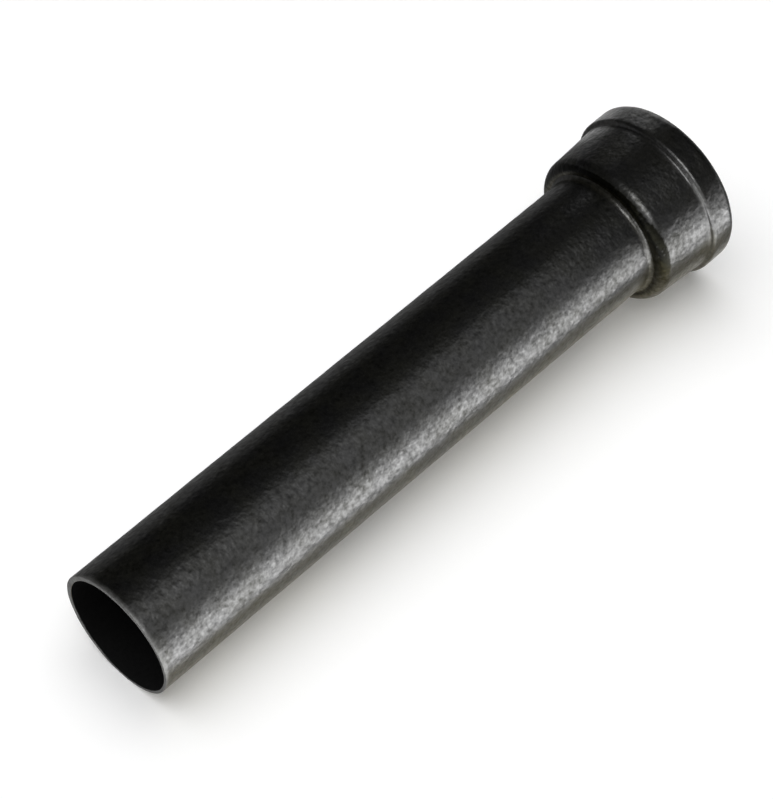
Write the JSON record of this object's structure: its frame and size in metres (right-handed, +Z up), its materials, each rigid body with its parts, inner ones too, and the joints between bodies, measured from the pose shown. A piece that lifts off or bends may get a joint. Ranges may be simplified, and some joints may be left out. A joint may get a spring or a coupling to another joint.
{
  "type": "cast iron soil pipe",
  "caption": "Straight cast iron drain pipe: a plain spigot end, a long barrel, and a socket with a round shoulder and a thick bead round its mouth.",
  "frame": {"origin": "on the floor under the middle of the pipe's box", "axes": "+Z up from the floor the pipe lies on; +X along the pipe, from its spigot to its socket; the pipe's own axis climbs 2.01 degrees towards the socket, because the bead is wider than the barrel"},
  "size_m": [0.6138, 0.149, 0.1495],
  "materials": {
    "cast_iron": "black drain-pipe coating, glossy, over fine cast grain; greyer where the ends are bare"
  },
  "bodies": {
    "root": {"soil_pipe": "cast_iron"}
  },
  "joints": []
}
